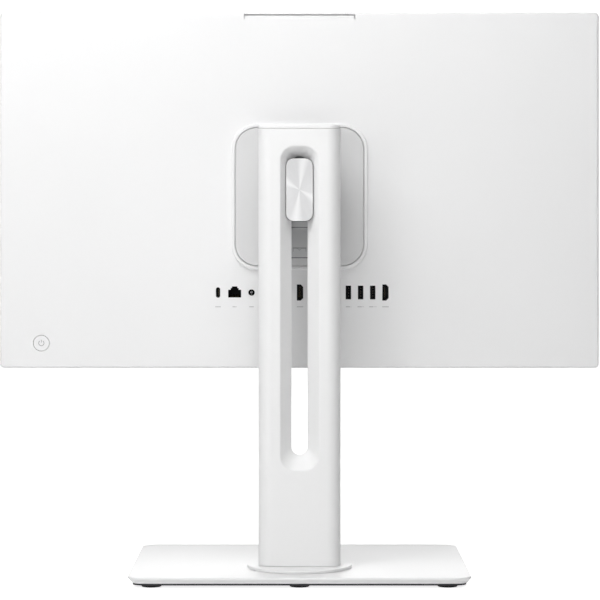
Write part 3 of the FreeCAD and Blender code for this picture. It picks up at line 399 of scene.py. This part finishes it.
def outline(kind, *a, seg=8):
    """Closed outline in X and Z: rounded rectangle (x0, z0, x1, z1, r)."""
    x0, z0, x1, z1, r = a
    pts = []
    for cx, cz, s in ((x1 - r, z1 - r, 0), (x0 + r, z1 - r, 90), (x0 + r, z0 + r, 180), (x1 - r, z0 + r, 270)):
        for k in range(seg + 1):
            t = math.radians(s + 90.0 * k / seg)
            pts.append((cx + r * math.cos(t), cz + r * math.sin(t)))
    return pts


def slab(bm, pts, y0, y1, hole=None, soft=0.0):
    """Flat plate between y0 and y1 (rear face at y1), with an optional hole of as many points."""
    def ring(p, y, grow=0.0):
        cx = sum(q[0] for q in p) / len(p)
        cz = sum(q[1] for q in p) / len(p)
        out = []
        for i, (x, z) in enumerate(p):
            a, b = p[i - 1], p[(i + 1) % len(p)]
            t = Vector((b[0] - a[0], b[1] - a[1]))
            n = Vector((t.y, -t.x)).normalized() if t.length else Vector((0, 0))
            if n.dot(Vector((x - cx, z - cz))) < 0:
                n = -n
            out.append(bm.verts.new(Vector((x + n.x * grow, y, z + n.y * grow)) * MM))
        return out
    loops = [ring(pts, y0)]
    if soft:
        loops += [ring(pts, y1 - soft), ring(pts, y1 - soft * 0.3, -soft * 0.3), ring(pts, y1, -soft)]
    else:
        loops.append(ring(pts, y1))
    for a, b in zip(loops, loops[1:]):
        for k in range(len(a)):
            bm.faces.new((a[k], a[(k + 1) % len(a)], b[(k + 1) % len(b)], b[k]))
    if hole is None:
        bm.faces.new(loops[0])
        bm.faces.new(loops[-1])
        return
    h0, h1 = ring(hole, y0), ring(hole, y1)
    n = len(pts)
    for k in range(n):
        j = (k + 1) % n
        bm.faces.new((h0[k], h0[j], h1[j], h1[k]))
        bm.faces.new((loops[0][k], loops[0][j], h0[j], h0[k]))
        bm.faces.new((loops[-1][k], loops[-1][j], h1[j], h1[k]))


def strip(bm, pts, half, thick, along="X", at=0.0):
    """A bent strip of sheet: pts run in Y and Z (along X) or Y and X (along Z), in millimetres."""
    rows = []
    for i, (y, w) in enumerate(pts):
        a, b = pts[max(0, i - 1)], pts[min(len(pts) - 1, i + 1)]
        t = Vector((b[0] - a[0], b[1] - a[1])).normalized()
        n = Vector((-t.y, t.x)) * thick / 2
        row = []
        for s, h in ((1, -half), (1, half), (-1, half), (-1, -half)):
            yy, ww = y + n.x * s, w + n.y * s
            row.append(bm.verts.new(Vector((at + h, yy, ww) if along == "X" else (ww, yy, at + h)) * MM))
        rows.append(row)
    for a, b in zip(rows, rows[1:]):
        for k in range(4):
            bm.faces.new((a[k], a[(k + 1) % 4], b[(k + 1) % 4], b[k]))
    bm.faces.new(rows[0])
    bm.faces.new(rows[-1])


def piece(name, bm, mat, body, smooth=True):
    bmesh.ops.recalc_face_normals(bm, faces=bm.faces)
    me = bpy.data.meshes.new(name)
    bm.to_mesh(me)
    bm.free()
    if smooth:
        me.shade_smooth()
        me.set_sharp_from_angle(angle=math.radians(35))
    me.materials.append(mat)
    o = bpy.data.objects.new(name, me)
    scene.collection.objects.link(o)
    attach(o, body)
    return o


def spot(node):
    lo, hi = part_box(node)
    return (lo + hi) / 2 / MM


M["gold"] = brushed("gold_contact", (0.4, 0.29, 0.13), rough=0.3, axis=1, fine=2400.0)
M["ink"] = plastic("grey_ink", (0.36, 0.365, 0.37), rough=0.6, edge=1.0)
# near-black for thin lines of painted shade in gaps and seams
M["seam"] = plastic("painted_gap_shade", (0.045, 0.045, 0.048), rough=0.6, edge=1.0)
M["epoxy"] = plastic("chip_epoxy", (0.022, 0.022, 0.024), rough=0.5, grain=1800.0, edge=1.8)
M["can"] = brushed("capacitor_can", (0.72, 0.72, 0.74), rough=0.3, axis=0)
M["ferrite"] = plastic("inductor_core", (0.14, 0.14, 0.145), rough=0.6, vary=0.2, edge=1.5)
M["ivory"] = plastic("header_nylon", (0.78, 0.74, 0.62), rough=0.5, edge=1.05)
M["mark"] = plastic("light_grey_ink", (0.56, 0.56, 0.56), rough=0.6, edge=1.0)
M["window"] = lens("camera_glass")
M["glow"] = plastic("led_window_painted_glow", (0.75, 0.77, 0.8), rough=0.25, edge=1.0)

# power symbol printed on the button
pb = spot("power_button")
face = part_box("power_button")[1].y / MM
bm = bmesh.new()
n = 44
inner, outer = [], []
for k in range(n + 1):
    t = math.radians(90 + 34 + (360 - 68) * k / n)
    inner.append((pb.x + 2.15 * math.cos(t), pb.z + 2.15 * math.sin(t)))
    outer.append((pb.x + 2.65 * math.cos(t), pb.z + 2.65 * math.sin(t)))
slab(bm, inner + outer[::-1], face - 0.1, face + 0.035)
slab(bm, outline("r", pb.x - 0.25, pb.z + 0.5, pb.x + 0.25, pb.z + 3.1, 0.24), face - 0.1, face + 0.035)
piece("power_symbol", bm, M["ink"], "power_button", smooth=False)

# contacts of the connectors
PU = spot("ethernet_jack").z
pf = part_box("usb_shells")[1].y / MM
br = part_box("motherboard")[0].y / MM + 1.6
usb_a = (-44.1, -55.1, -66.0)
hdmi = (-0.45, -77.5)
bm = bmesh.new()
for x in usb_a:
    for dz, half in ((-3.5, 0.55), (-1.0, 0.5), (1.0, 0.5), (3.5, 0.55)):
        strip(bm, [(br + 2, x - 0.25), (-27.4, x - 0.25), (-26.2, x - 0.42), (-25.4, x - 0.42), (-24.8, x - 0.25)], half, 0.12, along="Z", at=PU + dz)
piece("usb_contacts", bm, M["gold"], "head")
bm = bmesh.new()
for x in hdmi:
    for k in range(10):
        for side in (-1, 1):
            if side > 0 and k == 9:
                continue
            z = PU - 4.5 + k * 1.0 + (0.5 if side > 0 else 0.0)
            strip(bm, [(br + 2, x + side * 0.74), (-26.0, x + side * 0.74), (-24.8, x + side * 0.74)], 0.16, 0.1, along="Z", at=z)
piece("display_port_contacts", bm, M["gold"], "head")
bm = bmesh.new()
for k in range(12):
    for side in (-1, 1):
        strip(bm, [(br + 2, 73.5 + side * 0.38), (-26.0, 73.5 + side * 0.38), (-24.8, 73.5 + side * 0.38)], 0.12, 0.08, along="Z", at=PU - 2.75 + 0.5 * k)
piece("usb_c_contacts", bm, M["gold"], "head")
bm = bmesh.new()
for k in range(8):
    x = 58.5 - 3.57 + 1.02 * k
    strip(bm, [(-24.4, PU - 4.3), (-25.0, PU - 4.2), (-28.0, PU - 2.9), (-30.6, PU - 1.9), (-31.0, PU - 2.2)], 0.18, 0.22, along="X", at=x)
piece("network_contacts", bm, M["gold"], "head")
# plain marks under the openings: a short bar, and a dot for the ones that take the same plug
bm = bmesh.new()
for x, half, dots in ((73.5, 2.6, 0), (58.5, 1.5, 1), (43.3, 2.2, 0), (-0.45, 3.0, 0), (-44.1, 2.0, 1), (-55.1, 2.0, 2), (-66.0, 2.0, 3), (-77.5, 3.0, 0)):
    wide = half + 0.45 * dots
    slab(bm, outline("r", x + wide - 2 * half, PU - 13.45, x + wide, PU - 12.65, 0.38), -19.1, -18.97)
    for k in range(dots):
        cx = x + wide - 2 * half - 0.75 - 0.9 * k
        slab(bm, outline("r", cx - 0.28, PU - 13.4, cx + 0.28, PU - 12.7, 0.27), -19.1, -18.97)
piece("port_marks", bm, M["mark"], "head", smooth=False)
bm = bmesh.new()
lathe(bm, 43.3, PU, [(1.02, -30.8), (1.02, -20.75), (0.9, -20.5), (0.62, -20.42), (0.45, -20.6), (0.0, -20.75)], seg=28)
piece("power_inlet_pin", bm, M["screw"], "head")
bm = bmesh.new()
for a in (-1, 1):
    strip(bm, [(-31.0, PU + a * 2.7), (-27.5, PU + a * 2.35), (-25.0, PU + a * 2.15), (-23.0, PU + a * 2.6)], 0.7, 0.15, along="X", at=43.3)
piece("power_inlet_springs", bm, M["screw"], "head")

# spun cap: dark backing that shows as the thin line around it, painted shadow for the shade in the gap around the cap
cl, ch = (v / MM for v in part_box("arm_cap"))
bm = bmesh.new()
slab(bm, outline("r", cl.x - 0.3, cl.z - 0.36, ch.x + 0.3, ch.z + 0.3, 7.25), cl.y - 0.1, cl.y + 0.5, soft=0.15)
piece("arm_cap_shadow_backing", bm, M["seam"], "carriage")

# painted shade: a dark strip for the shadowed seam seen through the column's slot
al, ah = (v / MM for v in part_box("lift_arm"))
bm = bmesh.new()
slab(bm, outline("r", -21.0, 306.6, 21.0, 307.15, 0.25), 36.9, 37.06)
piece("arm_seam_shadow", bm, M["seam"], "carriage", smooth=False)
ll, lh = (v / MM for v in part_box("release_latch"))
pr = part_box("pivot_plate")[1].y / MM
# painted shadow: dark strips on the plate along the latch's lower and upper edges
bm = bmesh.new()
slab(bm, outline("r", ll.x - 0.7, 279.35, lh.x + 0.7, 280.15, 0.38), pr - 0.2, pr + 0.1)
slab(bm, outline("r", ll.x - 0.7, 288.75, lh.x + 0.7, 289.4, 0.3), pr - 0.2, pr + 0.1)
piece("latch_edge_shadows", bm, M["seam"], "head", smooth=False)
bm = bmesh.new()
strip(bm, [(lh.y - 0.6, 288.2), (lh.y - 0.62, 288.9)], 6.1, 0.05, along="X")
yl = -13.2
slab(bm, [(-5.9, 288.4), (-5.9, 285.2), (-5.5, 285.2), (-5.5, 288.0), (-1.9, 288.0), (0.0, 286.2), (1.9, 288.0), (5.5, 288.0), (5.5, 285.2), (5.9, 285.2), (5.9, 288.4), (2.0, 288.4), (0.0, 286.8), (-2.0, 288.4)], yl - 0.1, yl + 0.05)
piece("latch_mark", bm, M["ink"], "latch", smooth=False)

# camera: one glossy front window and a ring around the lens
wl, wh = (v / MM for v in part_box("camera_bar"))
lc = spot("camera_lens")
bm = bmesh.new()
slab(bm, outline("r", -41.8, 478.2, 41.8, 496.8, 2.8), -41.6, -41.95)
piece("camera_window", bm, M["window"], "camera")
bm = bmesh.new()
lathe(bm, 0.0, lc.z, [(5.3, -41.9), (5.3, -42.2), (5.05, -42.34), (4.75, -42.34), (4.5, -42.2), (4.5, -41.9)], seg=48)
for x in (-30.0, 30.0):
    lathe(bm, x, lc.z, [(0.75, -41.9), (0.75, -42.1), (0.6, -42.16), (0.4, -42.1), (0.4, -41.95)], seg=20)
piece("camera_rings", bm, M["screw"], "camera")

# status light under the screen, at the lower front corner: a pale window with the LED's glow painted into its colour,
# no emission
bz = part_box("front_bezel")[0] / MM
bm = bmesh.new()
slab(bm, outline("r", -243.0, bz.z + 4.2, -235.0, bz.z + 5.4, 0.55), bz.y + 0.8, bz.y - 0.06)
piece("status_light", bm, M["glow"], "head", smooth=False)

# components on the boards
taken = []
for nm in ("heat_pipe", "ram_modules", "ssd", "usb_shells", "hdmi_shells", "ethernet_jack", "dc_jack", "standoffs", "fan_housing"):
    if nm == "usb_shells":
        taken += [(70.5, 241, 76.5, 256), (-69.5, 240, -41.0, 256)]
    elif nm == "hdmi_shells":
        taken += [(-4.0, 240, 3.0, 257), (-81.0, 240, -74.0, 257)]
    elif nm == "heat_pipe":
        taken += [(-143, 295, -97, 341), (-124, 340, -116, 372)]
    elif nm == "standoffs":
        taken += [(x - 4, z - 4, x + 4, z + 4) for x, z in ((-228, 240), (-228, 366), (-89, 366), (-155, 268), (20, 238), (84, 258))]
    else:
        a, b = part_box(nm)
        taken.append((a.x / MM - 1, a.z / MM - 1, b.x / MM + 1, b.z / MM + 1))
taken += [(-232, 297, -160, 305), (-211, 327, -189, 349), (-97, 299, -87, 327)]


def free(x0, z0, x1, z1):
    if not ((-234 < x0 and x1 < 89 and z0 > 233 and z1 < 262) or (-234 < x0 and x1 < -71 and z0 > 233 and z1 < 371)):
        return False
    if any(x0 < c and x1 > a and z0 < dd and z1 > b for a, b, c, dd in taken):
        return False
    taken.append((x0 - 0.6, z0 - 0.6, x1 + 0.6, z1 + 0.6))
    return True


chips, legs, cans, cores, heads, gold = (bmesh.new() for _ in range(6))
for x, z, w, h, t, pins in ((-128, 270, 14, 14, 1.0, 0), (-110, 272, 8, 8, 0.9, 1), (-147, 278, 6, 6, 0.9, 1), (-225, 350, 8, 11, 1.1, 1),
                            (-172, 350, 9, 9, 1.0, 1), (-176, 332, 6, 5, 0.9, 1), (-128, 242, 16, 12, 1.1, 1), (-104, 244, 7, 7, 0.9, 1),
                            (-30, 240, 9, 9, 1.0, 1), (-18, 252, 5, 4, 0.8, 1), (9, 246, 8, 6, 0.9, 1), (-84, 280, 9, 9, 1.0, 1),
                            (-84, 336, 10, 10, 1.0, 1), (28, 248, 6, 5, 0.8, 1), (-225, 316, 7, 7, 0.9, 1), (-182, 312, 5, 6, 0.8, 1)):
    if not free(x, z, x + w, z + h):
        continue
    block(chips, x + 0.6, x + w - 0.6, br + 0.08, br + 0.08 + t, z, z + h, 0.12)
    if pins:
        k = z + 0.7
        while k < z + h - 0.6:
            for a, b in ((x + 0.05, x + 0.9), (x + w - 0.9, x + w - 0.05)):
                block(legs, a, b, br, br + 0.25, k - 0.14, k + 0.14)
            k += 0.8
for x, z in ((-150, 300), (-150, 308), (-150, 316), (-150, 324), (-150, 332), (-79, 268), (-79, 276), (-214, 312), (-206, 312), (-94, 250), (-86, 250), (36, 243), (-158, 340), (-158, 312)):
    if free(x - 3.2, z - 3.2, x + 3.2, z + 3.2):
        lathe(cans, x, z, [(0.0, br), (3.1, br), (3.1, br + 0.9), (2.9, br + 1.1), (3.1, br + 1.3), (3.1, br + 5.1), (2.8, br + 5.4), (0.0, br + 5.4)], seg=28)
for x, z in ((-139, 344), (-131, 344), (-114, 344), (-105, 344), (-139, 354), (-131, 354), (-114, 354), (-105, 354), (-96, 338), (-24, 236)):
    if free(x, z, x + 7, z + 7):
        block(cores, x, x + 7, br + 0.1, br + 3.4, z, z + 7, 0.5, 3)
        for a, b in ((x - 0.4, x + 1.4), (x + 5.6, x + 7.4)):
            block(legs, a, b, br, br + 0.3, z + 1.5, z + 5.5, 0.05)
for x, z, w in ((-231, 307, 12), (-140, 362, 12), (-112, 364, 8), (-62, 234, 9), (-36, 234, 9)):
    if free(x, z, x + w, z + 4.4):
        block(heads, x, x + w, br, br + 4.2, z, z + 1.0, 0.15)
        block(heads, x, x + w, br, br + 1.2, z + 0.9, z + 4.4, 0.15)
        block(heads, x, x + 0.8, br, br + 4.2, z + 0.9, z + 4.4, 0.15)
        block(heads, x + w - 0.8, x + w, br, br + 4.2, z + 0.9, z + 4.4, 0.15)
        k = x + 1.6
        while k < x + w - 1.2:
            block(gold, k - 0.22, k + 0.22, br + 1.0, br + 3.8, z + 2.2, z + 2.7, 0.05)
            k += 1.25
# small passives in rows
for r in range(46):
    x = -232 + (r * 37) % 158
    z = 236 + (r * 53) % 132
    if free(x, z, x + 1.8, z + 1.1):
        block(cores if r % 2 else heads, x + 0.3, x + 1.5, br, br + 0.55, z, z + 1.0, 0.08)
        block(legs, x, x + 0.35, br, br + 0.5, z, z + 1.0)
        block(legs, x + 1.45, x + 1.8, br, br + 0.5, z, z + 1.0)
rl, rh = (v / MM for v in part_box("ram_modules"))
for i in range(4):
    for j in range(2):
        x = rl.x + 4 + i * 15.6
        z = rl.z + 4.5 + j * 11.6
        block(chips, x, x + 11.5, rh.y - 0.05, rh.y + 0.85, z, z + 8.6, 0.12)
for i in range(60):
    block(gold, rl.x + 2.4 + i * 1.06, rl.x + 3.1 + i * 1.06, rh.y - 0.05, rh.y + 0.04, rh.z - 2.6, rh.z - 0.2)
piece("board_chips", chips, M["epoxy"], "head")
piece("chip_legs", legs, M["screw"], "head", smooth=False)
piece("board_capacitors", cans, M["can"], "head")
piece("board_inductors", cores, M["ferrite"], "head")
piece("board_headers", heads, M["ivory"], "head")
piece("header_pins", gold, M["gold"], "head", smooth=False)


# ------------------------------------------------------------------ stage, light and camera
def area(name, loc, target, size, power, size_y=None, color=(1, 1, 1)):
    l = bpy.data.lights.new(name, "AREA")
    l.energy = power
    l.color = color
    l.shape = "RECTANGLE"
    l.size = size
    l.size_y = size_y or size
    o = bpy.data.objects.new(name, l)
    scene.collection.objects.link(o)
    o.location = loc
    d = Vector(target) - Vector(loc)
    o.rotation_euler = d.to_track_quat("-Z", "Y").to_euler()
    return o


def floor():
    bm = bmesh.new()
    bmesh.ops.create_grid(bm, x_segments=1, y_segments=1, size=12.0)
    me = bpy.data.meshes.new("floor")
    bm.to_mesh(me)
    bm.free()
    o = bpy.data.objects.new("floor", me)
    scene.collection.objects.link(o)
    t = Net("pale_floor")
    n = t.noise(3.0, 2.0)
    t.set(Base_Color=t.mix(t.ramp(n, 0.3, 0.7), (0.93, 0.93, 0.93), (0.95, 0.95, 0.95)), Roughness=0.85)
    t.b.inputs["Emission Color"].default_value = (1, 1, 1, 1)
    t.b.inputs["Emission Strength"].default_value = 0.7
    seen = t.n("ShaderNodeLightPath").outputs["Is Camera Ray"]
    t.link(t.math("ADD", t.math("MULTIPLY", seen, 0.78), 0.04), t.b.inputs["Emission Strength"])
    me.materials.append(t.m)
    return o


floor()
w = bpy.data.worlds.new("studio")
scene.world = w
w.use_nodes = True
wt = w.node_tree
wt.nodes.clear()
wo = wt.nodes.new("ShaderNodeOutputWorld")
b1 = wt.nodes.new("ShaderNodeBackground")
b1.inputs[0].default_value = (1, 1, 1, 1)
b1.inputs[1].default_value = 0.42
b2 = wt.nodes.new("ShaderNodeBackground")
b2.inputs[0].default_value = (1, 1, 1, 1)
b2.inputs[1].default_value = 1.1
lp = wt.nodes.new("ShaderNodeLightPath")
mx = wt.nodes.new("ShaderNodeMixShader")
wt.links.new(lp.outputs["Is Camera Ray"], mx.inputs[0])
wt.links.new(b1.outputs[0], mx.inputs[1])
wt.links.new(b2.outputs[0], mx.inputs[2])
wt.links.new(mx.outputs[0], wo.inputs[0])

# a bright backdrop behind the object, a soft room behind the camera
tc = wt.nodes.new("ShaderNodeTexCoord")
sp = wt.nodes.new("ShaderNodeSeparateXYZ")
wt.links.new(tc.outputs["Generated"], sp.inputs[0])
total = wt.nodes.new("ShaderNodeMath")
for i, (lo, hi, top) in enumerate(((-0.6, -0.9, 1.89), (-0.2, 0.8, 0.23))):
    mr = wt.nodes.new("ShaderNodeMapRange")
    mr.inputs["From Min"].default_value = lo
    mr.inputs["From Max"].default_value = hi
    mr.inputs["To Min"].default_value = 0.0
    mr.inputs["To Max"].default_value = top
    wt.links.new(sp.outputs[1], mr.inputs["Value"])
    wt.links.new(mr.outputs[0], total.inputs[i])
wt.links.new(total.outputs[0], b1.inputs[1])

area("high_left", (0.5, 0.9, 1.5), (0.1, 0, 0.35), 0.8, 2.87)
area("near_left", (0.5, 0.45, 1.05), (0.15, 0, 0.40), 0.5, 2.85)
area("near_top", (0.0, 0.6, 1.0), (0.0, 0, 0.35), 0.5, 2.3)
area("low_left", (0.9, 1.4, 0.6), (0.1, 0, 0.30), 0.5, 2.42)
area("soft_front", (0.25, 1.9, 0.5), (0.1, 0, 0.30), 1.0, 2.45)
area("low_front", (0.05, 1.5, 0.14), (0.0, 0, 0.40), 0.5, 1.9)
area("overhead", (0.0, 0.3, 2.2), (0, 0, 0.10), 1.0, 5.45)
area("screen_side", (-1.6, -2.2, 1.4), (0, 0, 0.30), 1.6, 10)

cam = bpy.data.cameras.new("camera")
cam.lens = 144.0
cam.sensor_width = 36.0
cam.sensor_fit = "HORIZONTAL"
cam.shift_x = 0.0008
cam.shift_y = -0.108
cam.clip_start = 0.05
cam.clip_end = 60.0
co = bpy.data.objects.new("camera", cam)
scene.collection.objects.link(co)
co.location = (0.0, 2.145, 0.300)
co.rotation_euler = (math.radians(90), 0, math.radians(180))
scene.camera = co
scene.view_settings.view_transform = "Standard"
